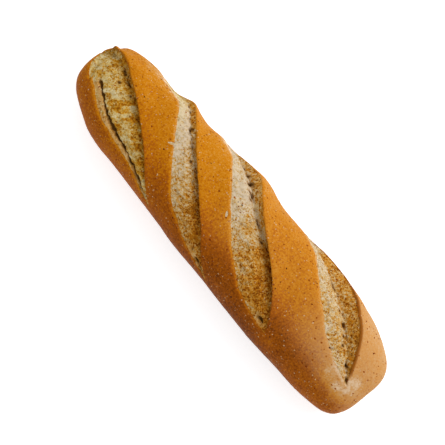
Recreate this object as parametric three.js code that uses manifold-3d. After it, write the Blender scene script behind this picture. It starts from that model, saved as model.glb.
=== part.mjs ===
// A short baguette, baked as one piece: a long rounded loaf with blunt ends and a flat base, opened by
// four slanting slashes, each with a raised lip of crust (the baker's "ear") along its far side.
//
// Millimetres, +Z up. The origin is on the ground under the middle of the loaf. +X runs along the loaf
// towards its broader end, and the ears stand on the +Y side of their slashes.

import * as THREE from 'three';
import { ParametricGeometry } from 'three/addons/geometries/ParametricGeometry.js';
import { mergeVertices } from 'three/addons/utils/BufferGeometryUtils.js';
import Module from 'manifold-3d';

const wasm = await Module();
wasm.setup();

// The loaf's body.
const LENGTH = 280;
const HALF_LENGTH = LENGTH / 2;
const HALF_WIDTH = 35;
const HEIGHT = 50;
const AXIS_HEIGHT = 22; // the level at which the loaf is widest
const UNDERSIDE_DEPTH = 26; // how far below that level the round underside would reach if it weren't flat
const WIDTH_GAIN = 0.017; // the half width grows by this much of x towards the broader end
const HEIGHT_GAIN = 0.01;
const SIDEWAYS = -0.95; // the ears stand out on the +Y side, so the body sits this far over to centre the whole
const SECTION_POWER = 2.3; // 2 would be an ellipse; more is squarer
const END_POWER = 3.9; // 2 would be a pointed end; more is blunter

// The slashes, as the blade drew them: each passes these stations, from its end on the +Y side to its end
// on the -Y side. A station is [x, turn about the loaf's axis in degrees, half the width it opened to].
const SLASHES = [
  [[-139, 36, 0], [-135, 26, 5], [-127, 8, 11.2], [-106, -17, 13.2], [-85, -32, 10.8], [-63, -47, 6.2],
    [-36, -78, 0]],
  [[-114, 98, 0], [-98, 84, 3], [-80, 68, 5], [-62, 36, 6.5], [-45, 5, 7.5], [-25, -27, 9], [-6, -47, 7.3],
    [24, -80, 0]],
  [[-54, 100, 0], [-42, 88, 3], [-31, 76, 5], [-14, 53, 9], [4, 26, 10], [23, -1, 11], [43, -25, 11],
    [58, -40, 7.5], [72, -55, 0]],
  [[28, 96, 0], [39, 85, 4], [50, 76, 7.5], [64, 66, 11], [78, 51, 12.5], [92, 34, 11.5], [108, 13, 9],
    [128, -19, 0]],
];

// A slash's cross-section, in half widths: across it, and out from the crust.
const SLASH_DEPTH = 0.62;
const UNDERCUT = 0.15; // how far the ear overhangs the bottom of the slash
const EAR_HEIGHT = 0.25;
const EAR_REACH = 0.9; // from the ear's edge to where it has sunk back into the crust
const BURIED = 0.3; // how deep the ear's root sits in the loaf
const CLEAR = 0.8; // the cut's open top, above the ear

const CRUST_STEPS_ALONG = 68;
const CRUST_STEPS_AROUND = 44;
const SLASH_STEPS = 22;

function power(value, exponent) {
  return Math.pow(Math.abs(value), exponent);
}

// How full the loaf is at a point: 1 on its surface, less inside and more outside.
function fullness(point) {
  const halfWidth = HALF_WIDTH + WIDTH_GAIN * point.x;
  const crownHeight = HEIGHT - AXIS_HEIGHT + HEIGHT_GAIN * point.x;
  const above = point.z - AXIS_HEIGHT;
  const halfDepth = above > 0 ? crownHeight : UNDERSIDE_DEPTH;
  const section = power(power(point.y / halfWidth, SECTION_POWER) + power(above / halfDepth, SECTION_POWER),
    1 / SECTION_POWER);
  return power(power(section, END_POWER) + power(point.x / HALF_LENGTH, END_POWER), 1 / END_POWER);
}

function fullnessSlope(point) {
  const step = 0.01;
  const slope = new THREE.Vector3();
  for (const axis of ['x', 'y', 'z']) {
    const ahead = point.clone();
    const behind = point.clone();
    ahead[axis] += step;
    behind[axis] -= step;
    slope[axis] = (fullness(ahead) - fullness(behind)) / (2 * step);
  }
  return slope;
}

// The nearest surface point, and that point raised along the surface's normal.
function ontoCrust(point, height = 0) {
  const rested = point.clone();
  for (let round = 0; round < 4; round++) {
    const slope = fullnessSlope(rested);
    rested.addScaledVector(slope, (1 - fullness(rested)) / slope.lengthSq());
  }
  return rested.addScaledVector(fullnessSlope(rested).normalize(), height);
}

// The surface point at x, turned about the loaf's axis from straight up towards +Y.
function crustPoint(x, turn) {
  const shrink = power(1 - power(x / HALF_LENGTH, END_POWER), 1 / END_POWER);
  const direction = new THREE.Vector3(0, Math.sin(turn), Math.cos(turn));
  const probe = new THREE.Vector3(x, direction.y, AXIS_HEIGHT + direction.z);
  const halfWidth = HALF_WIDTH + WIDTH_GAIN * x;
  const halfDepth = direction.z > 0 ? HEIGHT - AXIS_HEIGHT + HEIGHT_GAIN * x : UNDERSIDE_DEPTH;
  const reach = shrink / power(
    power(direction.y / halfWidth, SECTION_POWER) + power(direction.z / halfDepth, SECTION_POWER),
    1 / SECTION_POWER);
  return probe.set(x, reach * direction.y, AXIS_HEIGHT + reach * direction.z);
}

// A closed manifold solid from a three.js geometry whose seams and poles only touch.
function solidFrom(geometry) {
  geometry.deleteAttribute('normal');
  geometry.deleteAttribute('uv');
  const merged = mergeVertices(geometry, 1e-4);
  const corners = merged.index.array;
  const faces = [];
  for (let i = 0; i < corners.length; i += 3) {
    const [a, b, c] = corners.subarray(i, i + 3);
    if (a !== b && b !== c && c !== a) faces.push(a, b, c);
  }
  return new wasm.Manifold(new wasm.Mesh({
    numProp: 3,
    vertProperties: new Float32Array(merged.attributes.position.array),
    triVerts: new Uint32Array(faces),
  }));
}

function loafBody() {
  const surface = (u, v, target) => {
    target.copy(crustPoint(-HALF_LENGTH * Math.cos(Math.PI * u), 2 * Math.PI * v));
  };
  return solidFrom(new ParametricGeometry(surface, CRUST_STEPS_ALONG, CRUST_STEPS_AROUND));
}

// A bar that follows a slash. Its section is a ring of [across, out] corners in half widths, so it
// closes to a point at both ends, where the slash has no width.
function barAlong(path, ring) {
  const bar = (u, v, target) => {
    const station = path.getPoint(u);
    const halfWidth = Math.max(station.z, 0);
    const place = crustPoint(station.x, THREE.MathUtils.degToRad(station.y));
    const before = path.getPoint(Math.max(u - 0.01, 0));
    const after = path.getPoint(Math.min(u + 0.01, 1));
    const along = crustPoint(after.x, THREE.MathUtils.degToRad(after.y))
      .sub(crustPoint(before.x, THREE.MathUtils.degToRad(before.y)));
    const across = fullnessSlope(place).cross(along).normalize();
    const [side, out] = ring[Math.round(v * ring.length) % ring.length];
    const foot = place.addScaledVector(across, side * halfWidth);
    target.copy(ontoCrust(foot, out * halfWidth));
  };
  return solidFrom(new ParametricGeometry(bar, SLASH_STEPS, ring.length));
}

const EAR_RING = [
  [0.9, EAR_HEIGHT],
  [1 + EAR_REACH / 2, EAR_HEIGHT / 3],
  [1 + EAR_REACH, -0.02],
  [0.9, -BURIED],
];

const CUT_RING = [
  [-1, CLEAR],
  [1, CLEAR],
  [1, EAR_HEIGHT],
  [1 + UNDERCUT, -SLASH_DEPTH],
  [0.5, -0.85 * SLASH_DEPTH],
  [-0.3, -0.45 * SLASH_DEPTH],
  [-1, 0],
];

function makeLoaf() {
  const under = new THREE.BoxGeometry(LENGTH + 20, 4 * HALF_WIDTH, HEIGHT).translate(0, 0, -HEIGHT / 2);
  let loaf = loafBody().subtract(solidFrom(under));
  const paths = SLASHES.map((stations) => new THREE.CatmullRomCurve3(
    stations.map((station) => new THREE.Vector3(...station))));
  for (const path of paths) loaf = loaf.add(barAlong(path, EAR_RING));
  for (const path of paths) loaf = loaf.subtract(barAlong(path, CUT_RING));

  const result = loaf.getMesh();
  const geometry = new THREE.BufferGeometry();
  geometry.setAttribute('position', new THREE.BufferAttribute(result.vertProperties, 3));
  geometry.setIndex(new THREE.BufferAttribute(result.triVerts, 1));
  geometry.translate(0, SIDEWAYS, 0);
  geometry.computeVertexNormals();
  const crust = new THREE.MeshStandardMaterial({ color: 0xb8741f, roughness: 0.7, metalness: 0 });
  const mesh = new THREE.Mesh(geometry, crust);
  mesh.name = 'loaf';
  return mesh;
}

const baguette = new THREE.Group();
baguette.add(makeLoaf());

export default baguette;
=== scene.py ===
# %% [markdown]
# # A short baguette
# The loaf is one piece of baked dough. Its looks come from three things: the body that the baker rolled,
# the slashes that the oven tore open, and what the heat did to each surface. This lesson takes them in that
# order: first the shape as a field of numbers, then a skin on that field, then the fine relief and the bran
# flakes with Geometry Nodes, then the finishes.

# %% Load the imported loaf
import functools
import math

import bpy
import numpy as np
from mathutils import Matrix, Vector


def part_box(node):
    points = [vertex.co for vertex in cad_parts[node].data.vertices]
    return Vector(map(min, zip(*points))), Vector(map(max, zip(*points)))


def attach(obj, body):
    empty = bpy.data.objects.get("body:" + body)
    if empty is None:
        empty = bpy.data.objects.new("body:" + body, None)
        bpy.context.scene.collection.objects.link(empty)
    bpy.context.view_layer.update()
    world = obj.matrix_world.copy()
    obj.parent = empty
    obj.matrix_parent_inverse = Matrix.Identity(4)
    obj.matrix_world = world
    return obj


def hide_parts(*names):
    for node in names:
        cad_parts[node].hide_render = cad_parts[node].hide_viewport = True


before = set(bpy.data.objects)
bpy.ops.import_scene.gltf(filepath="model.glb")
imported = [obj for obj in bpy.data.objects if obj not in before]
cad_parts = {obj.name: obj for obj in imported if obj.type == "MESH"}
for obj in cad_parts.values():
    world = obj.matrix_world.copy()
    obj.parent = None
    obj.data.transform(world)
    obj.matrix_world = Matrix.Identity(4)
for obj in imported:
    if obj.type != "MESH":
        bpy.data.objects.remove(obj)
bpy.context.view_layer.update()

MM = 0.001
loaf_low, loaf_high = (np.array(corner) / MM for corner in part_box("loaf"))
print("the loaf's box in mm:", loaf_low.round(1), loaf_high.round(1))

# %% [markdown]
# ## The body
# A rolled and proved baguette is close to a stretched egg: rounder than a box, blunter than an ellipse. It
# could be a box with subdivision, or a lofted curve. A superellipsoid is used instead, because one formula
# says for any point whether it is inside the dough, and that is what the slashes need later. The sizes are
# those of the frame's loaf, in millimetres.

# %% The body's formula
HALF_LENGTH = float(loaf_high[0] - loaf_low[0]) / 2
HALF_WIDTH = 34.4
LOAF_HEIGHT = 50.0
AXIS_HEIGHT = 22.0
UNDERSIDE_DEPTH = 26.0
WIDTH_GAIN = 0.014
HEIGHT_GAIN = 0.01
SIDEWAYS = -0.95
END_LEAN = -1.7
SECTION_POWER = 2.3
END_POWER = 3.9


def middle_line(x):
    """The loaf isn't quite straight: its ends lean a little to opposite sides."""
    return SIDEWAYS + END_LEAN * (x / HALF_LENGTH) ** 3


def fullness(points):
    """1 on the surface of the plain body, less inside it and more outside."""
    x, y, above = points[:, 0], points[:, 1] - middle_line(points[:, 0]), points[:, 2] - AXIS_HEIGHT
    wide = HALF_WIDTH + WIDTH_GAIN * x
    deep = np.where(above > 0, LOAF_HEIGHT - AXIS_HEIGHT + HEIGHT_GAIN * x, UNDERSIDE_DEPTH)
    section = np.abs(y / wide) ** SECTION_POWER + np.abs(above / deep) ** SECTION_POWER
    section **= END_POWER / SECTION_POWER
    return (section + np.abs(x / HALF_LENGTH) ** END_POWER) ** (1 / END_POWER)


def depth_and_normal(points):
    """How far each point stands out of the plain body, in mm, and the way out."""
    step = 0.05
    slope = np.empty_like(points)
    for axis in range(3):
        ahead, behind = points.copy(), points.copy()
        ahead[:, axis] += step
        behind[:, axis] -= step
        slope[:, axis] = (fullness(ahead) - fullness(behind)) / (2 * step)
    steep = np.linalg.norm(slope, axis=1) + 1e-9
    return (fullness(points) - 1) / steep, slope / steep[:, None]


def onto_body(points, rounds=4):
    """The nearest points of the plain body's surface."""
    for _ in range(rounds):
        out, normal = depth_and_normal(points)
        points = points - normal * out[:, None]
    return points


def body_point(x, turn):
    """Surface points at x, turned about the loaf's axis from straight up towards +Y (radians)."""
    side, up = np.sin(turn), np.cos(turn)
    shrink = np.maximum(1 - np.abs(x / HALF_LENGTH) ** END_POWER, 0) ** (1 / END_POWER)
    wide = HALF_WIDTH + WIDTH_GAIN * x
    deep = np.where(up > 0, LOAF_HEIGHT - AXIS_HEIGHT + HEIGHT_GAIN * x, UNDERSIDE_DEPTH)
    reach = shrink * (np.abs(side / wide) ** SECTION_POWER + np.abs(up / deep) ** SECTION_POWER) ** (
        -1 / SECTION_POWER)
    return np.stack([x, middle_line(x) + reach * side, AXIS_HEIGHT + reach * up], axis=-1)


def spot_at(x, degrees):
    return body_point(np.array([float(x)]), np.radians([degrees]))


def mound(points, x, degrees, reach):
    """1 at a spot of the body, fading away over about `reach` mm."""
    return np.exp(-(np.linalg.norm(points - spot_at(x, degrees), axis=1) / reach) ** 2)


print("body top at mid length:", spot_at(0, 0).round(2))

# %% [markdown]
# ## Noise
# Dough is never quite even. All the large unevenness comes from one helper: random numbers on a lattice,
# blended smoothly between its points. The seed is fixed, so the loaf is the same each time.

# %% Lattice noise
LATTICE = 32
lattice = np.random.default_rng(7).uniform(-1, 1, (LATTICE, LATTICE, LATTICE)).astype(np.float32)


def noise(points, size, seed=0.0):
    """Smooth random values in -1..1 that change over about `size` mm."""
    place = points / size + np.array([seed * 3.7, seed * 5.3, seed * 2.9])
    cell = np.floor(place).astype(np.int64)
    part = place - cell
    part = part * part * (3 - 2 * part)
    total = np.zeros(len(points))
    for corner in np.ndindex(2, 2, 2):
        share = np.prod(np.where(corner, part, 1 - part), axis=1)
        spot = (cell + corner) % LATTICE
        total += share * lattice[spot[:, 0], spot[:, 1], spot[:, 2]]
    return total


def rough(points, size, seed=0.0, octaves=3):
    """Noise with finer noise on it."""
    return sum(noise(points, size / 2 ** level, seed + level) / 2 ** level for level in range(octaves))


def ease(low, high, value):
    """0 below low, 1 above high, smooth between."""
    part = np.clip((value - low) / (high - low), 0, 1)
    return part * part * (3 - 2 * part)


# %% [markdown]
# ## The slashes
# The baker draws a blade slantwise over the dough. In the oven each cut gapes: the near lip rolls down
# smoothly into pale crumb, and the far lip is lifted into an ear. Each slash is kept here as a few stations
# from its end on the +Y side to its end on the -Y side, with half the width it opened to. Its crumb is
# drawn as a floor under the crust, deepest beneath the ear.

# %% Where the blade went
SMALL_TEAR = {"wall_foot": (1.0, 1.0), "depth": 0.3, "crown": 0.0, "ear": 0.1, "ear_tip": 0.0,
              "crevice": (2.0, 3.0, 0.5), "rim": (0.0, 0.8)}  # a crevice past the slash's end is none
SLASHES = [
    # stations: x, turn in degrees, half the gape. wall_foot: where across the slash the wall under the ear
    # stands, at its upper and its lower end; past 1 it is hidden beneath the ear. depth, crown and ear are
    # shares of half the gape. ear_tip: how much prouder the ear stands at its upper end. toast: how brown
    # the crumb is at its upper and its lower end. crevice: a deep tear in the crumb, from where to where
    # along the slash, and how far across. rim: how brown and how wide the ear's edge is.
    {"stations": [(-139, 36, 0), (-135, 26, 5), (-127, 8, 11.2), (-106, -17, 13.2), (-85, -32, 10.8),
                  (-63, -47, 6.2), (-36, -78, 0)],
     "wall_foot": (0.93, 1.08), "depth": 0.2, "crown": 0.05, "ear": 0.17, "ear_tip": 2.2,
     "toast": (0.75, 0.85), "crevice": (0.37, 0.97, 0.19), "rim": (0.6, 0.8)},
    {"stations": [(-114, 98, 0), (-98, 84, 3), (-80, 68, 5), (-62, 36, 6.5), (-45, 5, 7.5), (-25, -27, 9),
                  (-6, -47, 7.3), (24, -80, 0)],
     "wall_foot": (0.76, 1.1), "depth": 0.36, "crown": 0.08, "ear": 0.22, "ear_tip": 0.3,
     "toast": (0.0, 1.2), "crevice": (0.88, 0.98, 0.3), "rim": (0.2, 0.8)},
    {"stations": [(-54, 100, 0), (-42, 88, 3), (-31, 76, 5), (-14, 53, 9), (4, 26, 10), (23, -1, 11),
                  (43, -25, 11), (58, -40, 7.5), (72, -55, 0)],
     "wall_foot": (0.74, 1.08), "depth": 0.36, "crown": 0.08, "ear": 0.2, "ear_tip": 0.5,
     "toast": (0.05, 1.5), "crevice": (0.91, 0.97, 0.3), "rim": (0.25, 0.8)},
    {"stations": [(28, 96, 0), (39, 85, 4), (50, 76, 7.5), (64, 66, 11), (78, 51, 12.5), (92, 34, 11.5),
                  (108, 13, 9), (128, -19, 0)],
     "wall_foot": (0.62, 0.68), "depth": 0.46, "crown": 0.06, "ear": 0.2, "ear_tip": 0.0,
     "toast": (0.45, 0.75), "crevice": (0.93, 1.0, 0.55), "rim": (0.95, 1.9)},
    # A nick in the second slash's near lip, and a short tear in the crust beyond it.
    {**SMALL_TEAR, "stations": [(-53, 9, 0), (-56, 6, 1.1), (-58, 3, 1.0), (-60, -1, 0)],
     "toast": (0.0, 0.0)},
    {**SMALL_TEAR, "stations": [(-2, 6, 0), (0, 1, 1.0), (2, -5, 0)], "toast": (0.15, 0.15)},
]
PATH_STEPS = 90


def along_stations(stations, steps=PATH_STEPS):
    """A smooth curve through the stations (Catmull-Rom)."""
    knots = np.array(stations, float)
    knots = np.vstack([2 * knots[0] - knots[1], knots, 2 * knots[-1] - knots[-2]])
    spans = len(stations) - 1
    where = np.linspace(0, spans - 1e-9, steps)
    first = where.astype(int)
    t = (where - first)[:, None]
    a, b, c, d = (knots[first + offset] for offset in range(4))
    return b + t / 2 * (c - a + t * (2 * a - 5 * b + 4 * c - d + t * (3 * (b - c) + d - a)))


def slash_edges(stations, seed):
    """The near lip and the far lip as points on the body, with the way across at each."""
    path = along_stations(stations)
    middle = body_point(path[:, 0], np.radians(path[:, 1]))
    gape = np.maximum(path[:, 2], 0)
    _, out = depth_and_normal(middle)
    across = np.cross(out, np.gradient(middle, axis=0))
    across /= np.linalg.norm(across, axis=1)[:, None]
    wander = 0.05 * gape * noise(middle, 9, seed) + 0.03 * gape * noise(middle, 3, seed)
    near = onto_body(middle - across * (gape + wander)[:, None])
    far = onto_body(middle + across * (gape + 0.6 * wander)[:, None])
    return near, far, across


for number, slash in enumerate(SLASHES, 1):
    near, far, _ = slash_edges(slash["stations"], number)
    print(f"slash {number}: {np.linalg.norm(np.diff((near + far) / 2, axis=0), axis=1).sum():.0f} mm long, "
          f"{np.linalg.norm(far - near, axis=1).max():.1f} mm wide")

# %% [markdown]
# ## The unrolled crust
# Everything about a slash depends on where a point is on the crust, not on how deep it is. So the crust is
# unrolled into a map, length by turn, and the distances to the lips are measured once for each spot of the
# map. Looking them up is then quick for millions of points.

# %% Measure the map
MAP_LONG, MAP_ROUND = 601, 400
map_along = np.linspace(-1, 1, MAP_LONG)
map_turn = np.linspace(-np.pi, np.pi, MAP_ROUND + 1)
grid_x, grid_turn = np.meshgrid(HALF_LENGTH * np.sin(map_along * np.pi / 2), map_turn, indexing="ij")
grid_turn = grid_turn.ravel()
map_points = body_point(grid_x.ravel(), grid_turn)


def signed_distance(points, line, across):
    """Distance from a line on the crust, positive on the ear's side, and how far along it the foot is."""
    best = np.full(len(points), 1e9)
    side = np.zeros(len(points))
    progress = np.zeros(len(points))
    for step in range(len(line) - 1):
        start, leg = line[step], line[step + 1] - line[step]
        offset = points - start
        share = np.clip(offset @ leg / max(leg @ leg, 1e-9), 0, 1)
        offset -= share[:, None] * leg
        gap = np.einsum("ij,ij->i", offset, offset)
        closer = gap < best
        best[closer] = gap[closer]
        side[closer] = (offset @ across[step])[closer]
        progress[closer] = (step + share[closer]) / (len(line) - 1)
    return np.sqrt(best) * np.where(side < 0, -1, 1), progress


# %% [markdown]
# ## Swells, bubbles and a curl
# Hands and oven leave a loaf uneven. Noise gives the small waves; the bulges of the outline, the burst
# bubbles in the crumb and the curled tip of the first ear have places of their own.

# %% Where the dough went its own way
# Where the dough bulged or stayed slim: x, turn in degrees, reach along the loaf, how far out.
SWELLS = [
    (-90, 85, 12, -3.8), (-73, 85, 5, 1.0), (-57, 85, 10, -2.0), (-3, 80, 12, 3.4), (-34, 80, 7, -1.2),
    (57, 85, 12, 0.9), (103, 80, 18, 1.3), (-137, 70, 5, -2.0), (-99, -85, 18, 2.2), (-10, -85, 14, 0.8),
    (92, -85, 18, -1.2), (131, -80, 9, 1.2),
]
# Bubbles that burst in the crumb: x, turn in degrees, radius, depth.
BUBBLES = [
    (-13, 60, 1.6, 1.5), (-7, 52, 1.9, 1.6), (-3, 44, 1.4, 1.6), (16, 26, 1.0, 1.2),
    (-115, 20, 1.5, 1.6), (-111, 19, 1.0, 1.2), (-112, 2, 1.4, 0.8), (-100, 2, 0.9, 1.0),
    (-41, 9, 1.2, 1.2),
    (-58, 40, 1.0, 1.2), (1, 38, 1.3, 1.4), (27, 14, 1.4, 1.6), (63, -47, 1.7, 2.0), (74, 54, 1.8, 1.6),
    (98, 32, 1.1, 1.3), (104, 23, 1.3, 1.5), (108, 13, 1.2, 1.5), (90, 40, 1.0, 1.2), (119, 0, 1.3, 1.5),
]
# The ear's curled tip: x, turn in degrees, reach, how far out.
CURL = (-133, 42, 2.2, 1.6)
swell = 0.35 * noise(map_points, 26, 3) + 0.18 * noise(map_points, 9, 4)
for x, degrees, reach, out in SWELLS:
    side = np.clip(np.cos(grid_turn - math.radians(degrees)), 0, 1) ** 2
    side *= ease(0, 5, HALF_LENGTH - np.abs(map_points[:, 0]))
    swell += out * side * np.exp(-((map_points[:, 0] - x) / reach) ** 2)

# %% [markdown]
# ## Floor, ear and rim
# More layers say how the crust was changed, in millimetres from the plain body: how far the crust lifts
# (ear on the far lip, a slight roll on the near lip), where the crumb's floor lies, where it is torn into
# crevices, and how dark the oven made it. Each spot takes its layers from the slash it lies deepest in.

# %% Draw the layers
EAR_REACH = 0.9
LIP_ROLL = 0.09
LIP_ROLL_REACH = 1.6
TIP_PLACE, TIP_REACH = 0.13, 0.12
CREVICE_DEPTH = 3.0
CRUMB_LUMP, CRUMB_PIT = 6.0, 1.8
TYPICAL_LENGTH = 125
FAR_OFF = -30.0
REACH = 16.0

LAYERS = ["inside", "from_near", "to_far", "width", "share_across", "progress", "lift", "ear_top", "floor",
          "bottom", "wall_foot", "crevice", "flap", "toast", "along", "rim"]
crust_map = {name: np.zeros(len(map_points)) for name in LAYERS}
for name in ("inside", "from_near", "to_far"):
    crust_map[name][:] = FAR_OFF
crust_map["width"][:] = 0.01
lift_of_all = np.zeros(len(map_points))
for number, slash in enumerate(SLASHES, 1):
    near, far, across = slash_edges(slash["stations"], number)
    low, high = np.minimum(near.min(0), far.min(0)) - REACH, np.maximum(near.max(0), far.max(0)) + REACH
    spots = np.flatnonzero(np.all((map_points > low) & (map_points < high), axis=1))
    here = map_points[spots]
    from_near, near_progress = signed_distance(here, near, across)
    beyond_far, far_progress = signed_distance(here, far, across)
    to_far = -beyond_far
    inside = np.minimum(from_near, to_far)
    progress = (near_progress + far_progress) / 2
    width = np.clip(from_near + to_far, 0.01, None)
    half_gape = width / 2
    share = from_near / width

    tip = np.exp(-((progress - TIP_PLACE) / TIP_REACH) ** 2)
    ear_top = slash["ear"] * half_gape * (1 + slash["ear_tip"] * tip)
    ear = ear_top * np.exp(-1.5 * (np.clip(-to_far, 0, None) / (EAR_REACH * half_gape + 0.5)) ** 2)
    lip = -LIP_ROLL * half_gape * np.exp(np.minimum(from_near, 0) / LIP_ROLL_REACH)
    lift = np.where(to_far < from_near, ear, lip) * ease(-REACH + 1, -REACH + 5, inside)

    upper_foot, lower_foot = slash["wall_foot"]
    wall_foot = upper_foot + (lower_foot - upper_foot) * ease(0.4, 0.7, progress)
    depth = slash["depth"] * half_gape
    fall = np.clip(share / wall_foot, 0, 1.2)
    floor = -LIP_ROLL * half_gape - depth * (0.15 * fall + 0.85 * fall ** 2.6)
    floor += slash["crown"] * half_gape * np.sin(np.pi * np.clip(fall, 0, 1)) ** 2
    ragged = ease(0.08, 0.5, share) * ease(1, 5, half_gape)
    floor += ragged * (0.45 * rough(here, CRUMB_LUMP, 11) + 0.3 * noise(here, CRUMB_PIT, 12))
    corner = np.exp(-((share - wall_foot + 0.02) * width / 0.9) ** 2) * ease(0.0, 0.5, noise(here, 2.6, 13))
    crevice = 0.6 * corner * ease(1.5, 5, half_gape)
    start, end, line = slash["crevice"]
    line = line * width + 0.9 * noise(here, 2.0, 14) + 0.6 * noise(here, 8, 15)
    along_crevice = ease(start, start + 0.05, progress) * ease(end + 0.01, end - 0.03, progress)
    gap = 0.8 + 0.6 * noise(here, 4, 17) + 0.25 * ease(0.5, 0.75, progress)
    torn = np.exp(-((from_near - line) / gap) ** 2) * along_crevice * ease(-0.6, -0.3, noise(here, 6, 16))
    crevice = np.maximum(crevice, torn)
    floor -= CREVICE_DEPTH * crevice
    flap = along_crevice * ease(0.4, -0.2, from_near - line)
    floor += 0.7 * np.clip(-from_near, 0, None)
    floor -= 1.2 * slash["ear_tip"] * ease(0.3, 0.12, progress)
    toast = slash["toast"][0] + (slash["toast"][1] - slash["toast"][0]) * ease(0.4, 0.85, progress)
    brown, rim_width = slash["rim"]
    off_edge = np.maximum(-to_far, 1.8 * to_far)
    rim = brown * ease(rim_width, 0.4 * rim_width, off_edge) * ease(1, 3, half_gape)

    lift_of_all[spots] += lift
    better = inside > crust_map["inside"][spots]
    for name, layer in dict(
            inside=inside, from_near=from_near, to_far=to_far, width=width, share_across=share,
            progress=progress, lift=lift, ear_top=ear_top, floor=floor, bottom=-depth, wall_foot=wall_foot,
            crevice=crevice, flap=flap, toast=toast, along=progress * TYPICAL_LENGTH, rim=rim).items():
        crust_map[name][spots[better]] = layer[better]

# %% [markdown]
# ## Burst bubbles and the curled tip
# A bubble dents the floor and is marked as torn, so that painted shade darkens it. The curl lifts the crust
# at one spot.

# %% Dig the bubbles, lift the tip
for x, degrees, radius, hole_depth in BUBBLES:
    away = np.linalg.norm((map_points - spot_at(x, degrees)) * (0.7, 1, 1), axis=1)
    away = away * (1 + 0.35 * noise(map_points, 1.6, 18))
    hole = np.exp(-(away / radius) ** 2) * ease(0.2, 1.0, crust_map["inside"])
    crust_map["floor"] -= hole_depth * hole
    crust_map["crevice"] = np.maximum(crust_map["crevice"], 0.75 * hole)
crust_map["swell"] = swell + lift_of_all - crust_map["lift"]
*curl_place, out = CURL
crust_map["lift"] += out * mound(map_points, *curl_place)
print("share of the crust that is open crumb:", round(float((crust_map["inside"] > 0).mean()), 3))
crust_map = {name: layer.reshape(MAP_LONG, MAP_ROUND + 1) for name, layer in crust_map.items()}

# %% [markdown]
# ## Reading the map
# Any point in or near the loaf belongs to the map's spot that is nearest on the plain body.

# %% Look up the layers
def unroll(points):
    """Each point's height over the plain body, its foot on it, and its place on the map."""
    out, normal = depth_and_normal(points)
    foot = points - normal * out[:, None]
    along = np.arcsin(np.clip(foot[:, 0] / HALF_LENGTH, -1, 1)) / (np.pi / 2)
    turn = np.arctan2(foot[:, 1] - middle_line(foot[:, 0]), foot[:, 2] - AXIS_HEIGHT)
    return out, foot, ((along + 1) / 2 * (MAP_LONG - 1), (turn + np.pi) / (2 * np.pi) * MAP_ROUND)


def read(name, place):
    """A layer of the map at these places, blended between its spots."""
    layer, (row, column) = crust_map[name], place
    i = np.clip(row.astype(int), 0, MAP_LONG - 2)
    j = np.clip(column.astype(int), 0, MAP_ROUND - 1)
    s, t = row - i, column - j
    return ((layer[i, j] * (1 - s) + layer[i + 1, j] * s) * (1 - t)
            + (layer[i, j + 1] * (1 - s) + layer[i + 1, j + 1] * s) * t)


# %% [markdown]
# ## The dough as a field
# The field is negative inside the loaf and positive outside. It starts from the plain body, adds the lift
# of the crust, and takes the slashes away: a point is cut out if it is above the floor, on the near side
# of the ear's underside, and between the lips.

# %% The loaf's field
UNDERCUT = 3.0


def loaf_field(points):
    out, _, place = unroll(points)
    out -= read("swell", place)
    solid = out - read("lift", place)
    width, bottom = read("width", place), read("bottom", place)
    rise = np.clip((out - bottom) / (read("ear_top", place) - bottom + 0.01), 0, 1.5)
    wall = read("to_far", place) + width * (read("wall_foot", place) - 1) * (1 - rise)
    cut = np.minimum(np.minimum(out - read("floor", place), wall), read("inside", place) + UNDERCUT)
    return np.maximum(np.maximum(solid, cut), -points[:, 2])


probe = np.array([[0.0, 0, 25], [0, 0, 60], [80, 10, 47]])
print("field at the middle, above the loaf and in a slash:", loaf_field(probe).round(2))

# %% [markdown]
# ## A skin on the field
# Blender has a voxel remesher, but it starts from a mesh. Here the shape is numbers, so the skin is made
# with surface nets: each grid cell that the surface passes through gets one point, and each grid edge that
# it crosses gets one face. Only the cells near the crust and the slashes are worked out fully.

# %% Fill the grid
CELL = 0.55
ROUGH_RADIUS = 30.0
INWARD, OUTWARD = -14, 9
margin = 4.0
origin = np.array([-HALF_LENGTH - margin, loaf_low[1] - margin, -2.3 * CELL])
shape = np.ceil((np.array([HALF_LENGTH + margin, loaf_high[1] + margin, loaf_high[2] + 3]) - origin) / CELL)
shape = shape.astype(int) + 1
axes = [origin[axis] + CELL * np.arange(shape[axis]) for axis in range(3)]
values = np.empty(tuple(shape), np.float32)
for i, x in enumerate(axes[0]):
    y, z = np.meshgrid(axes[1], axes[2], indexing="ij")
    plane = np.stack([np.full(y.size, x), y.ravel(), z.ravel()], axis=1)
    level = (fullness(plane) - 1) * ROUGH_RADIUS
    near_skin = np.flatnonzero((level > INWARD) & (level < OUTWARD) & (plane[:, 2] > -3 * CELL))
    band = plane[near_skin]
    level[near_skin] = loaf_field(band)
    values[i] = level.reshape(shape[1], shape[2])
print("grid of", "x".join(map(str, shape)), "cells")

# %% [markdown]
# ## From the grid to faces
# A cell's point is the mean of the places where the surface crosses its edges, which keeps it smooth. One
# cell has one point even where the torn crumb passes through it twice, so there four faces can share an
# edge. The skin has no holes, but it isn't strictly manifold at those edges.

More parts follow.
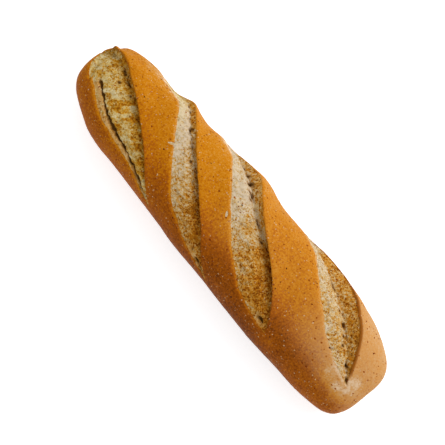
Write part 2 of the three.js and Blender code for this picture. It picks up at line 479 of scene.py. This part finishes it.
# %% Wrap it in faces
def surface_net(values):
    """Points (in cells) and quads of the surface where values change sign."""
    negative = values < 0
    corners = [negative[i:values.shape[0] - 1 + i, j:values.shape[1] - 1 + j, k:values.shape[2] - 1 + k]
               for i, j, k in np.ndindex(2, 2, 2)]
    count = sum(corner.astype(np.int8) for corner in corners)
    mixed = (count > 0) & (count < 8)
    cells = np.argwhere(mixed)
    number = np.full(mixed.shape, -1, np.int64)
    number[mixed] = np.arange(len(cells))
    total, hits = np.zeros((len(cells), 3)), np.zeros(len(cells))
    quads = []
    for axis in range(3):
        b, c = (axis + 1) % 3, (axis + 2) % 3
        ahead = np.eye(3, dtype=int)[axis]
        for near_b, near_c in np.ndindex(2, 2):
            start = np.zeros(3, int)
            start[b], start[c] = near_b, near_c
            v0 = values[tuple((cells + start).T)]
            v1 = values[tuple((cells + start + ahead).T)]
            crossed = (v0 < 0) != (v1 < 0)
            place = (cells[crossed] + start).astype(float)
            place[:, axis] += v0[crossed] / (v0[crossed] - v1[crossed])
            total[crossed] += place
            hits[crossed] += 1
        first = np.moveaxis(negative, axis, 0)[:-1]
        second = np.moveaxis(negative, axis, 0)[1:]
        edges = np.argwhere(np.moveaxis(first != second, 0, axis))
        edges = edges[(edges[:, b] > 0) & (edges[:, c] > 0)]
        step_b, step_c = np.eye(3, dtype=int)[b], np.eye(3, dtype=int)[c]
        ring = [edges - step_b - step_c, edges - step_c, edges, edges - step_b]
        quad = np.stack([number[tuple(corner.T)] for corner in ring], axis=1)
        leaving = negative[tuple(edges.T)]
        quads.append(np.where(leaving[:, None], quad, quad[:, ::-1]))
    return total / hits[:, None], np.vstack(quads)


def largest_piece(points, faces):
    """Drops crumbs that float free of the loaf."""
    label = np.arange(len(points))
    while True:
        lowest = label[faces].min(axis=1)
        fresh = label.copy()
        for corner in range(faces.shape[1]):
            np.minimum.at(fresh, faces[:, corner], lowest)
        fresh = fresh[fresh]
        if np.array_equal(fresh, label):
            break
        label = fresh
    biggest = np.bincount(label).argmax()
    kept = label == biggest
    renumber = np.cumsum(kept) - 1
    return points[kept], renumber[faces[kept[faces[:, 0]]]]


points, quads = surface_net(values)
points = origin + CELL * points
points, quads = largest_piece(points, quads)
print(len(points), "points and", len(quads), "quads")
print("lowest", points.min(0).round(2), "highest", points.max(0).round(2))

# %% [markdown]
# ## A mesh in Blender
# Blender works in metres, so the millimetres end here. A piece's place is in its mesh.

# %% Make the mesh
def mesh_from(name, points, faces):
    mesh = bpy.data.meshes.new(name)
    mesh.vertices.add(len(points))
    mesh.vertices.foreach_set("co", (points * MM).astype(np.float32).ravel())
    mesh.loops.add(faces.size)
    mesh.loops.foreach_set("vertex_index", faces.astype(np.int32).ravel())
    mesh.polygons.add(len(faces))
    mesh.polygons.foreach_set("loop_start", np.arange(0, faces.size, faces.shape[1], dtype=np.int32))
    mesh.update(calc_edges=True)
    mesh.validate()
    return mesh


def show(name, mesh):
    piece = bpy.data.objects.new(name, mesh)
    bpy.context.scene.collection.objects.link(piece)
    return piece


def applied(piece):
    """The piece with its modifiers worked into a plain mesh."""
    depsgraph = bpy.context.evaluated_depsgraph_get()
    mesh = bpy.data.meshes.new_from_object(piece.evaluated_get(depsgraph))
    piece.modifiers.clear()
    old, piece.data = piece.data, mesh
    bpy.data.meshes.remove(old)
    return piece


def coordinates(mesh):
    flat = np.empty(3 * len(mesh.vertices), np.float32)
    mesh.vertices.foreach_get("co", flat)
    return flat.reshape(-1, 3).astype(float) / MM


loaf = show("baguette_loaf", mesh_from("baguette_loaf", points, quads))

# %% [markdown]
# ## Thin the mesh where it's plain
# The grid gives the flat base as many faces as the torn crumb. Decimate takes edges away where the surface
# is flat, and a vertex group tells it to leave the slashes fine.

# %% Decimate
TARGET_FACES = 190_000
SPARED = 0.93
start_faces = 2 * len(loaf.data.polygons)
if start_faces > TARGET_FACES:
    _, _, place = unroll(points)
    plain = 1 - SPARED * ease(-2.5, 0, read("inside", place))
    group = loaf.vertex_groups.new(name="plain")
    for level in np.unique(plain.round(1)):
        group.add(np.flatnonzero(plain.round(1) == level).tolist(), float(level), "REPLACE")
    thin = loaf.modifiers.new("thin", "DECIMATE")
    thin.ratio = TARGET_FACES / start_faces
    thin.vertex_group = "plain"
    thin.vertex_group_factor = 4
    applied(loaf)
    loaf.vertex_groups.clear()
print("faces after thinning:", len(loaf.data.polygons))

# %% [markdown]
# ## What happened where
# The finishes need to know what each spot is: crust or crumb, pale or toasted, an ear's burnt edge or
# stretched skin. These are written on the mesh as named attributes.

# %% Write the attributes
def write_attribute(mesh, name, values):
    if values.ndim == 2:
        layer = mesh.attributes.new(name, "FLOAT_VECTOR", "POINT")
        layer.data.foreach_set("vector", values.astype(np.float32).ravel())
    else:
        mesh.attributes.new(name, "FLOAT", "POINT").data.foreach_set("value", values.astype(np.float32))


# Skin that stretched late and stayed pale: x, turn in degrees, reach, how pale.
STRETCHED = [
    (127, -22, 8, 0.5), (117, -20, 6, 0.55), (131, -8, 4, 0.35), (76, -60, 6, 0.15), (-106, 64, 11, 0.15),
    (-96, 74, 7, 0.3), (-84, 68, 7, 0.35), (-38, 76, 6, 0.3), (-33, 72, 5, 0.25),
]


def paint(mesh):
    points = coordinates(mesh)
    out, foot, place = unroll(points)
    out -= read("swell", place)
    inside, width, progress = read("inside", place), read("width", place), read("progress", place)
    to_far, from_near, across = read("to_far", place), read("from_near", place), read("share_across", place)
    below = read("lift", place) - out
    near_lips = ease(-4, -3, inside)
    open_crumb = ease(-0.2, 0.2, inside + 0.2 * noise(foot, 1.5, 21)) * ease(0.2, 0.5, to_far)
    under_ear = ease(0.5, 0.9, below) * near_lips
    flap = read("flap", place) * ease(-0.9, 0.0, noise(foot, 1.3, 24)) * ease(-0.2, 0.3, inside)
    crumb = np.maximum(open_crumb, under_ear)
    beside_wall = ease(read("wall_foot", place) - 0.05, read("wall_foot", place) + 0.08, across)
    toast = read("toast", place) * (0.75 + 0.4 * ease(0.2, 0.9, across)) + 0.15 * rough(foot, 7, 22)
    toast = np.maximum(toast, (beside_wall + 0.15 * rough(foot, 4, 25)) * ease(0.15, 0.35, progress))
    weave = np.stack([read("along", place) - 0.5 * from_near, 0.55 * from_near, 0.5 * out], axis=1)
    near_rim = np.exp(-((from_near + 0.6) / 0.9) ** 2) * ease(1, 5, width) * (1 - crumb) * near_lips
    x, height = points[:, 0], points[:, 2]
    side = points[:, 1] - middle_line(x)
    # Darker towards the -Y side, most of all low on its flank, and lighter towards the +Y side: painted
    # shade on the side away from the lamp and painted light on the side towards it. Paler where a lip
    # rolled.
    flank = 0.55 + 0.55 * ease(-60, 60, x) - 0.45 * ease(85, 130, x)
    bake_and_shade = 0.5 - 0.08 * side / HALF_WIDTH + 0.05 * ease(-60, -10, x) + 0.22 * ease(-2, -22, side) * flank
    bake_and_shade += 0.05 * ease(-30, -34.5, side) - 0.06 * ease(20, 33, side)
    bake_and_shade += 0.05 * rough(foot, 30, 31) - 0.2 * near_rim
    # The broad end browned least, most of all towards its +Y side, where part of the paleness is painted
    # light from the lamp, and the base browned most.
    bake_and_shade -= 0.24 * ease(80, 138, x) * (0.5 + 0.5 * side / HALF_WIDTH)
    bake_and_shade += 0.2 * ease(12, 2, height)
    stretched = 0.5 + 0.9 * noise(foot, 3, 32)
    for *spot, pale in STRETCHED:
        bake_and_shade -= pale * mound(points, *spot) * (0.5 + stretched)
    dusting = 0.12 * ease(-20, 10, x) + 0.88 * ease(66, 110, x)
    for name, values in {
            "flap": flap, "crumb": crumb,
            "toast": np.clip(toast, 0, 1.3),
            # The crevice mask also tells the finish where to paint shade.
            "crevice": np.clip(read("crevice", place) * 1.4, 0, 1) * ease(-0.2, 0.4, inside),
            "weave": weave * MM,
            "rim": read("rim", place) * ease(2.2, 0.8, below) * near_lips,
            "bake_and_shade": np.clip(bake_and_shade, 0, 1),
            "veins": ease(84, 128, x) * ease(-28, -5, side),
            "dusting": dusting * ease(-25, -5, side),
            "fibre": ease(-50, -70, x + 0.6 * side),
    }.items():
        write_attribute(mesh, name, values)
    print("crumb share:", round(float(crumb.mean()), 3))


paint(loaf.data)
loaf.data.polygons.foreach_set("use_smooth", np.ones(len(loaf.data.polygons), bool))

# %% [markdown]
# ## Small tools for node trees
# Both the relief and the finishes are sums of patterns. These helpers add a node and join it to numbers or
# to other nodes, so that a formula reads like one.

# %% Node helpers
def feed(tree, socket, value):
    """Joins another node's output to the socket, or sets the socket to a number or a colour."""
    if isinstance(value, bpy.types.NodeSocket):
        tree.links.new(value, socket)
    else:
        socket.default_value = value


def add(tree, kind, inputs=(), **settings):
    """A node with its settings and inputs."""
    node = tree.nodes.new(kind)
    for key, value in settings.items():
        setattr(node, key, value)
    for name, value in dict(inputs).items():
        feed(tree, node.inputs[name], value)
    return node


def maths(tree, operation, *values):
    return add(tree, "ShaderNodeMath", enumerate(values), operation=operation).outputs[0]


def plus(tree, *values):
    return functools.reduce(lambda total, value: maths(tree, "ADD", total, value), values)


def times(tree, *values):
    return functools.reduce(lambda total, value: maths(tree, "MULTIPLY", total, value), values)


def ramp(tree, value, low, high, to_low=0.0, to_high=1.0):
    """The value stretched from low..high to to_low..to_high, smooth and clamped."""
    node = add(tree, "ShaderNodeMapRange", {"Value": value, "From Min": low, "From Max": high,
                                            "To Min": to_low, "To Max": to_high},
               interpolation_type="SMOOTHSTEP")
    return node.outputs["Result"]


def noise_node(tree, size, seed=0.0, detail=2.0, place=None, distortion=0.0, roughness=0.5):
    """Noise whose features are about `size` mm."""
    inputs = {"W": seed, "Scale": 1 / (size * MM), "Detail": detail, "Roughness": roughness,
              "Distortion": distortion}
    if place is not None:
        inputs["Vector"] = place
    return add(tree, "ShaderNodeTexNoise", inputs, noise_dimensions="4D").outputs[0]


def cells_node(tree, size, seed=0.0, place=None, feature="F1"):
    """Voronoi cells about `size` mm apart."""
    inputs = {"W": seed, "Scale": 1 / (size * MM)}
    if place is not None:
        inputs["Vector"] = place
    return add(tree, "ShaderNodeTexVoronoi", inputs, voronoi_dimensions="4D", feature=feature)


# %% [markdown]
# ## How each geometry tree starts and ends
# Both trees take a geometry, some numbers and a material, and both end with real geometry in that material.

# %% Geometry tree helpers
def new_geometry_tree(name, numbers):
    """A tree whose inputs are a geometry, these numbers and a material."""
    tree = bpy.data.node_groups.new(name, "GeometryNodeTree")
    new_socket = tree.interface.new_socket
    new_socket("Geometry", in_out="INPUT", socket_type="NodeSocketGeometry")
    for label, value in numbers.items():
        new_socket(label, in_out="INPUT", socket_type="NodeSocketFloat").default_value = value
    new_socket("Material", in_out="INPUT", socket_type="NodeSocketMaterial")
    new_socket("Geometry", in_out="OUTPUT", socket_type="NodeSocketGeometry")
    return tree, tree.nodes.new("NodeGroupInput").outputs


def close_geometry_tree(tree, geometry, material):
    """Makes the geometry real, gives it the material and puts it out."""
    real = add(tree, "GeometryNodeRealizeInstances", {"Geometry": geometry})
    painted = add(tree, "GeometryNodeSetMaterial", {"Geometry": real.outputs[0], "Material": material})
    add(tree, "NodeGroupOutput", {"Geometry": painted.outputs[0]})
    return tree


def stored(tree, name, kind="FLOAT"):
    """An attribute of the mesh."""
    node = add(tree, "GeometryNodeInputNamedAttribute", {"Name": name}, data_type=kind)
    return node.outputs["Attribute"]


# %% [markdown]
# ## Relief
# Torn crumb is pitted with burst bubbles, and the crust has a fine grain and low blisters. Sculpting them
# would take hours and displacement by an image would need an image. Geometry Nodes can push each point of
# the skin in or out by a sum of patterns instead, with the sizes kept as inputs. The tree also stores how
# deep in a pore each point is, which the finish uses later to paint shade into the pores.

# %% The relief tree
def relief_tree():
    tree, given = new_geometry_tree("bread_relief", {
        "Pore Size": 2.1, "Pore Depth": 0.55, "Tear Size": 3.5, "Tear Depth": 1.2, "Blister Size": 3.2,
        "Blister Height": 0.10, "Grain Size": 1.2, "Grain Height": 0.05, "Seed": 4.0})
    position = tree.nodes.new("GeometryNodeInputPosition").outputs[0]

    def per_metre(size):
        return maths(tree, "DIVIDE", 1 / MM, size)

    def noise_of(size, shift, distortion=0.0, place=position):
        return add(tree, "ShaderNodeTexNoise", {
            "Vector": place, "W": plus(tree, given["Seed"], shift), "Scale": per_metre(size), "Detail": 3.0,
            "Distortion": distortion}, noise_dimensions="4D").outputs[0]

    def cells_of(size, shift):
        return add(tree, "ShaderNodeTexVoronoi", {"W": plus(tree, given["Seed"], shift),
                                                  "Scale": per_metre(size)}, voronoi_dimensions="4D")

    pores = cells_of(given["Pore Size"], 0.0)
    pore_choice = add(tree, "FunctionNodeSeparateColor", {"Color": pores.outputs["Color"]}).outputs[0]
    big_pore = ramp(tree, pore_choice, 0.35, 0.8)
    pit = times(tree, ramp(tree, pores.outputs["Distance"], 0.6, 0.2), big_pore)
    weave = stored(tree, "weave", "FLOAT_VECTOR")
    tears = maths(tree, "SUBTRACT", noise_of(given["Tear Size"], 9.0, 0.6, weave), 0.5)
    blisters = ramp(tree, cells_of(given["Blister Size"], 5.0).outputs["Distance"], 0.7, 0.1)
    grain = maths(tree, "SUBTRACT", noise_of(given["Grain Size"], 2.0), 0.5)
    crumb = stored(tree, "crumb")
    crust = maths(tree, "SUBTRACT", 1.0, crumb)
    height = plus(
        tree,
        times(tree, crumb, given["Tear Depth"], tears, 2.0),
        times(tree, crumb, given["Pore Depth"], pit, -1.0),
        times(tree, crust, given["Blister Height"], blisters),
        times(tree, crust, given["Grain Height"], grain, 2.0))
    level = add(tree, "ShaderNodeSeparateXYZ", {0: position}).outputs[2]
    above_base = ramp(tree, level, 0.1 * MM, 2 * MM)
    height = times(tree, height, above_base)
    normal = tree.nodes.new("GeometryNodeInputNormal").outputs[0]
    offset = add(tree, "ShaderNodeVectorMath", {0: normal, "Scale": times(tree, height, MM)},
                 operation="SCALE")
    remembered = add(tree, "GeometryNodeStoreNamedAttribute",
                     {"Geometry": given["Geometry"], "Name": "pit", "Value": times(tree, pit, crumb)},
                     data_type="FLOAT", domain="POINT")
    moved = add(tree, "GeometryNodeSetPosition",
                {"Geometry": remembered.outputs[0], "Offset": offset.outputs[0]})
    return close_geometry_tree(tree, moved.outputs[0], given["Material"])


def grow(piece, tree, settings):
    """Runs a geometry tree on a piece with these inputs and keeps the result as a plain mesh."""
    modifier = piece.modifiers.new(tree.name, "NODES")
    modifier.node_group = tree
    sockets = {item.name: item.identifier for item in tree.interface.items_tree
               if item.in_out == "INPUT"}
    for name, value in settings.items():
        modifier[sockets[name]] = value
    return applied(piece)


# %% [markdown]
# ## The finishes of crust and crumb
# Crust and crumb could be two materials. They are one here, which reads the attributes, because they meet
# in a line that no edge of the mesh follows. A few more helpers come first.

# %% Colour helpers
def new_material(name):
    material = bpy.data.materials.new(name)
    material.use_nodes = True
    return material, material.node_tree, material.node_tree.nodes["Principled BSDF"]


def blend_colours(tree, share, first, second):
    node = add(tree, "ShaderNodeMix", data_type="RGBA")
    for number, value in {0: share, 6: first, 7: second}.items():
        feed(tree, node.inputs[number], value)
    return node.outputs[2]


def colour_scale(tree, share, stops):
    node = add(tree, "ShaderNodeValToRGB", {"Fac": share})
    band = node.color_ramp
    while len(band.elements) < len(stops):
        band.elements.new(0.5)
    for element, (position, colour) in zip(band.elements, stops):
        element.position = position
        element.color = (*colour, 1)
    return node.outputs["Color"]


def attribute(tree, name):
    return add(tree, "ShaderNodeAttribute", attribute_name=name).outputs["Fac"]


# %% [markdown]
# ## Crust
# The crust is pale where it stretched late, golden over most of the loaf and brown low on its sides. Its -Y
# side carries painted shade and its +Y side painted light. How brown each spot baked, with that painted
# shade and light, sets where it is on one scale of colours. Over it lie the faint cracks and the dusting of
# the broad end, freckles and flour.

# %% Crust colour
CRACK = (0.55, 0.32, 0.13, 1)
DUSTED = (0.44, 0.27, 0.14, 1)
FRECKLE = (0.25, 0.06, 0.004, 1)
FLOUR = (0.60, 0.40, 0.24, 1)

bread, tree, surface = new_material("bread")
blend = functools.partial(blend_colours, tree)
place = add(tree, "ShaderNodeTexCoord").outputs["Object"]

patches = noise_node(tree, 30, 1.0, 2, place)
mottle = noise_node(tree, 5, 2.0, 3, place)
grain = noise_node(tree, 1.1, 3.0, 2, place)
# The colour scale's input from the mesh also carries the painted shade of the -Y side and the painted light
# of the +Y side.
browning_and_shade = plus(tree, attribute(tree, "bake_and_shade"),
                times(tree, plus(tree, patches, -0.5), 0.12),
                times(tree, plus(tree, mottle, -0.5), 0.18),
                times(tree, plus(tree, grain, -0.5), 0.8))
crust_colour = colour_scale(tree, browning_and_shade, [
    (0.0, (0.66, 0.48, 0.31)),
    (0.2, (0.51, 0.26, 0.085)),
    (0.35, (0.50, 0.20, 0.016)),
    (0.5, (0.47, 0.162, 0.002)),
    (0.7, (0.34, 0.087, 0.003)),
    (0.85, (0.24, 0.058, 0.002)),
    (1.0, (0.12, 0.028, 0.002)),
])
WAVE = 4 * MM
waves = add(tree, "ShaderNodeTexNoise", {"Vector": place, "Scale": 1 / WAVE}).outputs["Color"]
bend = add(tree, "ShaderNodeVectorMath", {0: waves, 1: (WAVE, WAVE, WAVE)}, operation="MULTIPLY").outputs[0]
bent_place = add(tree, "ShaderNodeVectorMath", {0: place, 1: bend}, operation="ADD").outputs[0]
crackle = cells_node(tree, 5.5, 6.0, bent_place, "DISTANCE_TO_EDGE").outputs["Distance"]
vein = times(tree, ramp(tree, crackle, 0.12, 0.0), attribute(tree, "veins"),
             ramp(tree, mottle, 0.4, 0.62, 0.12, 0.52))
crust_colour = blend(vein, crust_colour, CRACK)
crust_colour = blend(times(tree, attribute(tree, "dusting"), 0.4), crust_colour, DUSTED)
freckles = ramp(tree, noise_node(tree, 1.6, 23.0, 2, place), 0.62, 0.72)
crust_colour = blend(times(tree, freckles, 0.45), crust_colour, FRECKLE)
flour = ramp(tree, noise_node(tree, 0.8, 24.0, 1, place), 0.66, 0.76)
crust_colour = blend(times(tree, flour, 0.5), crust_colour, FLOUR)

# %% [markdown]
# ## Crumb
# Crumb that tore late is nearly white, and the rest is toasted in speckles. The first slash was pulled into
# long fibres, so its patches run along the weave. Deep pores and the gaps between strands get painted
# shade.

# %% Crumb colour
# The colour of the shade painted into pores, holes and the gaps between strands.
PORE_SHADE_BROWN = (0.22, 0.085, 0.008, 1)

weave = add(tree, "ShaderNodeAttribute", attribute_name="weave").outputs["Vector"]
toast = attribute(tree, "toast")
fibre = attribute(tree, "fibre")
clouds = noise_node(tree, 6, 25.0, 2, place)
threshold = plus(tree, times(tree, clouds, -0.2), 0.635)
holes = cells_node(tree, 1.6, 9.0, place)
hole_choice = add(tree, "ShaderNodeSeparateColor", {"Color": holes.outputs["Color"]})
web = cells_node(tree, 1.6, 9.0, place, "DISTANCE_TO_EDGE").outputs["Distance"]
baked_cells = times(tree, ramp(tree, web, 0.02, 0.22), ramp(tree, hole_choice.outputs[1], 0.35, 0.7))
specks = noise_node(tree, 0.95, 7.0, 3, place, 1.0, 0.65)
speckle = ramp(tree, specks, threshold, plus(tree, threshold, 0.1))
speckling = plus(tree, times(tree, toast, 0.2), 0.4)
long_patches = plus(tree, noise_node(tree, 4.2, 17.0, 3, weave, 0.8), -0.5)
short_patches = plus(tree, noise_node(tree, 1.8, 19.0, 3, place, 0.5), -0.5)
fine = noise_node(tree, 0.8, 18.0, 2, place)
toasting = plus(tree, times(tree, toast, 0.5),
                times(tree, long_patches, ramp(tree, fibre, 0, 1, 0.6, 1.9)),
                times(tree, short_patches, ramp(tree, fibre, 0, 1, 1.2, 0.8)),
                times(tree, plus(tree, fine, -0.5), 0.8),
                times(tree, baked_cells, plus(tree, times(tree, toast, 0.25), 0.15)), -0.04,
                times(tree, speckle, speckling, ramp(tree, fibre, 0, 1, 1.0, 0.85)))
short_colour = colour_scale(tree, toasting, [
    (0.0, (0.57, 0.455, 0.315)),
    (0.25, (0.51, 0.37, 0.18)),
    (0.45, (0.49, 0.25, 0.045)),
    (0.7, (0.42, 0.145, 0.004)),
    (1.0, (0.20, 0.050, 0.003)),
])
long_colour = colour_scale(tree, toasting, [
    (0.0, (0.62, 0.51, 0.28)),
    (0.25, (0.55, 0.40, 0.14)),
    (0.5, (0.50, 0.25, 0.02)),
    (0.75, (0.40, 0.14, 0.003)),
    (1.0, (0.20, 0.055, 0.002)),
])
crumb_colour = blend(fibre, short_colour, long_colour)
strands = maths(tree, "ABSOLUTE", plus(tree, noise_node(tree, 4.5, 21.0, 3, weave, 0.8), -0.5))
strand = times(tree, fibre, ramp(tree, strands, 0.02, 0.0),
               ramp(tree, noise_node(tree, 7, 22.0, 1, place), 0.52, 0.6))
hole = times(tree, ramp(tree, holes.outputs["Distance"], 0.36, 0.15),
             ramp(tree, hole_choice.outputs[0], 0.75, 0.9))
# Painted shade: the deep pores, the holes and the gaps between strands are darkened.
painted_pore_shade = maths(tree, "MAXIMUM", times(tree, attribute(tree, "pit"), 0.3), times(tree, hole, 0.55))
painted_pore_shade = maths(tree, "MAXIMUM", painted_pore_shade, times(tree, strand, 0.7))
crumb_colour = blend(painted_pore_shade, crumb_colour, PORE_SHADE_BROWN)

# %% [markdown]
# ## Where they meet
# Crust blends into crumb at the lips. The ears' edges are browner than both, and the crevices are darkened
# with painted shade. A bump carries what is finer than the mesh, and bread hardly shines.

# %% Edges, tears and bump
RIM_BROWN = (0.22, 0.062, 0.002, 1)
# Painted shade in the crevices: brown at their edges, darkest deep in them.
TEAR_SHADE_BROWN = (0.36, 0.14, 0.01, 1)
DEEP_SHADE_BROWN = (0.10, 0.040, 0.006, 1)

flap_colour = blend(speckle, (0.56, 0.31, 0.10, 1), (0.48, 0.18, 0.02, 1))
crumb_colour = blend(times(tree, attribute(tree, "flap"), 0.8), crumb_colour, flap_colour)
crumb_share = ramp(tree, attribute(tree, "crumb"), 0.3, 0.7)
colour = blend(crumb_share, crust_colour, crumb_colour)
colour = blend(attribute(tree, "rim"), colour, RIM_BROWN)
# Painted shade darkens the crevices, the wall's foot under the ear and the burst bubbles.
crevice_edge_shade = ramp(tree, attribute(tree, "crevice"), 0.1, 0.5, 0.0, 0.5)
colour = blend(crevice_edge_shade, colour, TEAR_SHADE_BROWN)
deep_crevice_shade = ramp(tree, attribute(tree, "crevice"), 0.4, 0.9, 0.0, 0.95)
colour = blend(deep_crevice_shade, colour, DEEP_SHADE_BROWN)
tree.links.new(colour, surface.inputs["Base Color"])
surface.inputs["Specular IOR Level"].default_value = 0.02
tree.links.new(ramp(tree, crumb_share, 0, 1, 0.55, 0.9), surface.inputs["Roughness"])
crust_height = plus(tree, times(tree, grain, 0.5), times(tree, noise_node(tree, 0.6, 12.0, 1, place), 0.25))
crumb_height = plus(tree, times(tree, speckle, 1.2), times(tree, hole, -1.0))
height = plus(tree, times(tree, crust_height, maths(tree, "SUBTRACT", 1.0, crumb_share)),
              times(tree, crumb_height, crumb_share))
bump = add(tree, "ShaderNodeBump", {"Height": height, "Strength": 0.6, "Distance": 0.5 * MM})
tree.links.new(bump.outputs["Normal"], surface.inputs["Normal"])

# %% [markdown]
# ## Put the relief on the loaf
# The loaf rides on the frame's one body and takes the place of its plain loaf.

# %% Raise the relief
grow(loaf, relief_tree(), {"Material": bread})
print("loaf:", len(loaf.data.polygons), "faces,", [slot.name for slot in loaf.data.materials])
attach(loaf, "root")
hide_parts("loaf")

# %% [markdown]
# ## Bran flakes and specks
# The dough has wholemeal in it: bran shows as small dark flakes, and flour grains as pale specks. They
# could be painted, but real ones stand a little proud and catch the light. Geometry Nodes scatters points
# over the skin and puts a flat lens of dough-like bran on each, turned to the surface.

# %% Scatter the flakes
FULL_TURN = 6.28


def scatter_tree():
    tree, given = new_geometry_tree("bran_scatter", {
        "Flakes per Square Metre": 65000.0, "Flake Size": 0.68, "Seed": 3.0})
    seed = add(tree, "FunctionNodeFloatToInt", {"Float": given["Seed"]}).outputs[0]

    def chance(shift, low=0.0, high=1.0):
        node = add(tree, "FunctionNodeRandomValue", {"Seed": plus(tree, given["Seed"], shift)},
                   data_type="FLOAT")
        node.inputs[2].default_value, node.inputs[3].default_value = low, high
        return node.outputs[1]

    fewer_in_crumb = ramp(tree, stored(tree, "crumb"), 0, 1, 1.0, 0.5)
    density = times(tree, given["Flakes per Square Metre"], fewer_in_crumb)
    points = add(tree, "GeometryNodeDistributePointsOnFaces",
                 {"Mesh": given["Geometry"], "Density": density, "Seed": seed})
    lens = add(tree, "GeometryNodeMeshIcoSphere", {"Radius": MM, "Subdivisions": 1}).outputs[0]
    shade = chance(1.0)
    size = times(tree, given["Flake Size"], chance(2.0, 0.4, 1.3), ramp(tree, shade, 0.45, 0.6, 1.0, 0.75))
    flat = add(tree, "ShaderNodeCombineXYZ", {0: size, 1: times(tree, size, chance(3.0, 0.45, 0.9)),
                                              2: 0.07})
    spin = add(tree, "ShaderNodeCombineXYZ", {2: chance(4.0, 0.0, FULL_TURN)})
    turned = add(tree, "FunctionNodeRotateRotation", {
        "Rotation": points.outputs["Rotation"], "Rotate By": spin.outputs[0]}, rotation_space="LOCAL")
    placed = add(tree, "GeometryNodeInstanceOnPoints", {
        "Points": points.outputs["Points"], "Instance": lens, "Rotation": turned.outputs[0],
        "Scale": flat.outputs[0]})
    shaded = add(tree, "GeometryNodeStoreNamedAttribute",
                 {"Geometry": placed.outputs[0], "Name": "shade", "Value": shade},
                 data_type="FLOAT", domain="INSTANCE")
    return close_geometry_tree(tree, shaded.outputs[0], given["Material"])


# %% [markdown]
# ## The flakes' finish
# Each flake has one random shade: about half are red-brown bran, and the paler ones are grains of flour.

# %% Bran material
FACES_PER_FLAKE = 20

bran, tree, surface = new_material("bran")
shade = attribute(tree, "shade")
bran_colour = colour_scale(tree, shade, [
    (0.0, (0.02, 0.008, 0.005)),
    (0.04, (0.15, 0.022, 0.001)),
    (0.40, (0.28, 0.068, 0.002)),
    (0.52, (0.32, 0.12, 0.02)),
    (0.60, (0.42, 0.23, 0.10)),
    (1.0, (0.56, 0.37, 0.20)),
])
tree.links.new(bran_colour, surface.inputs["Base Color"])
surface.inputs["Specular IOR Level"].default_value = 0.05
surface.inputs["Roughness"].default_value = 0.8
flakes = show("bran_flakes", loaf.data.copy())
grow(flakes, scatter_tree(), {"Material": bran})
print("bran flakes:", len(flakes.data.polygons) // FACES_PER_FLAKE, "flakes")
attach(flakes, "root")

# %% [markdown]
# ## The table
# The loaf lies on a plain pale table. It glows a little, so that it stays white in the shade.

# %% Table
bpy.ops.mesh.primitive_plane_add(size=6, location=(0, 0, 0))
table = bpy.context.object
table.name = "table"
white, _, table_finish = new_material("pale_table")
table_finish.inputs["Base Color"].default_value = (0.78, 0.8, 0.82, 1)
table_finish.inputs["Emission Color"].default_value = (1, 1, 1, 1)
table_finish.inputs["Emission Strength"].default_value = 0.6
table_finish.inputs["Roughness"].default_value = 0.9
table.data.materials.append(white)

# %% [markdown]
# ## The light
# A white sky lights the loaf all round. One large soft lamp on its +Y side brightens the crown and leaves
# the near flank a shade darker.

# %% Light
SKY_STRENGTH = 0.68
LAMP_PLACE = (0.3, 0.7, 0.75)
LAMP_TARGET = (0, 0, 0.03)
LAMP_SIZE = 0.9
LAMP_WATTS = 8.5

scene = bpy.context.scene
scene.view_settings.view_transform = "Standard"
sky = bpy.data.worlds.new("studio")
scene.world = sky
sky.use_nodes = True
sky.node_tree.nodes["Background"].inputs["Color"].default_value = (1, 1, 1, 1)
sky.node_tree.nodes["Background"].inputs["Strength"].default_value = SKY_STRENGTH


def softbox(name, place, target, size, watts):
    lamp = bpy.data.lights.new(name, "AREA")
    lamp.shape = "DISK"
    lamp.size = size
    lamp.energy = watts
    holder = bpy.data.objects.new(name, lamp)
    holder.location = place
    holder.rotation_euler = (Vector(target) - Vector(place)).to_track_quat("-Z", "Y").to_euler()
    scene.collection.objects.link(holder)


softbox("window", LAMP_PLACE, LAMP_TARGET, LAMP_SIZE, LAMP_WATTS)

# %% [markdown]
# ## The camera
# It looks down steeply on the loaf, which slants across the view from the upper left.

# %% Camera
VIEW_ELEVATION = 78
VIEW_AZIMUTH = 51.3
VIEW_DISTANCE = 0.8
LENS = 101.2
LOOK_AT = (0, 0, 0.025)
SHIFT = (-0.0114, -0.001)

elevation, azimuth = math.radians(VIEW_ELEVATION), math.radians(VIEW_AZIMUTH)
back = Vector((math.sin(azimuth) * math.cos(elevation), -math.cos(azimuth) * math.cos(elevation),
               math.sin(elevation)))
eye = bpy.data.objects.new("eye", bpy.data.cameras.new("eye"))
eye.data.lens = LENS
eye.location = Vector(LOOK_AT) + back * VIEW_DISTANCE
eye.rotation_euler = (-back).to_track_quat("-Z", "Y").to_euler()
eye.data.shift_x, eye.data.shift_y = SHIFT
scene.collection.objects.link(eye)
scene.camera = eye
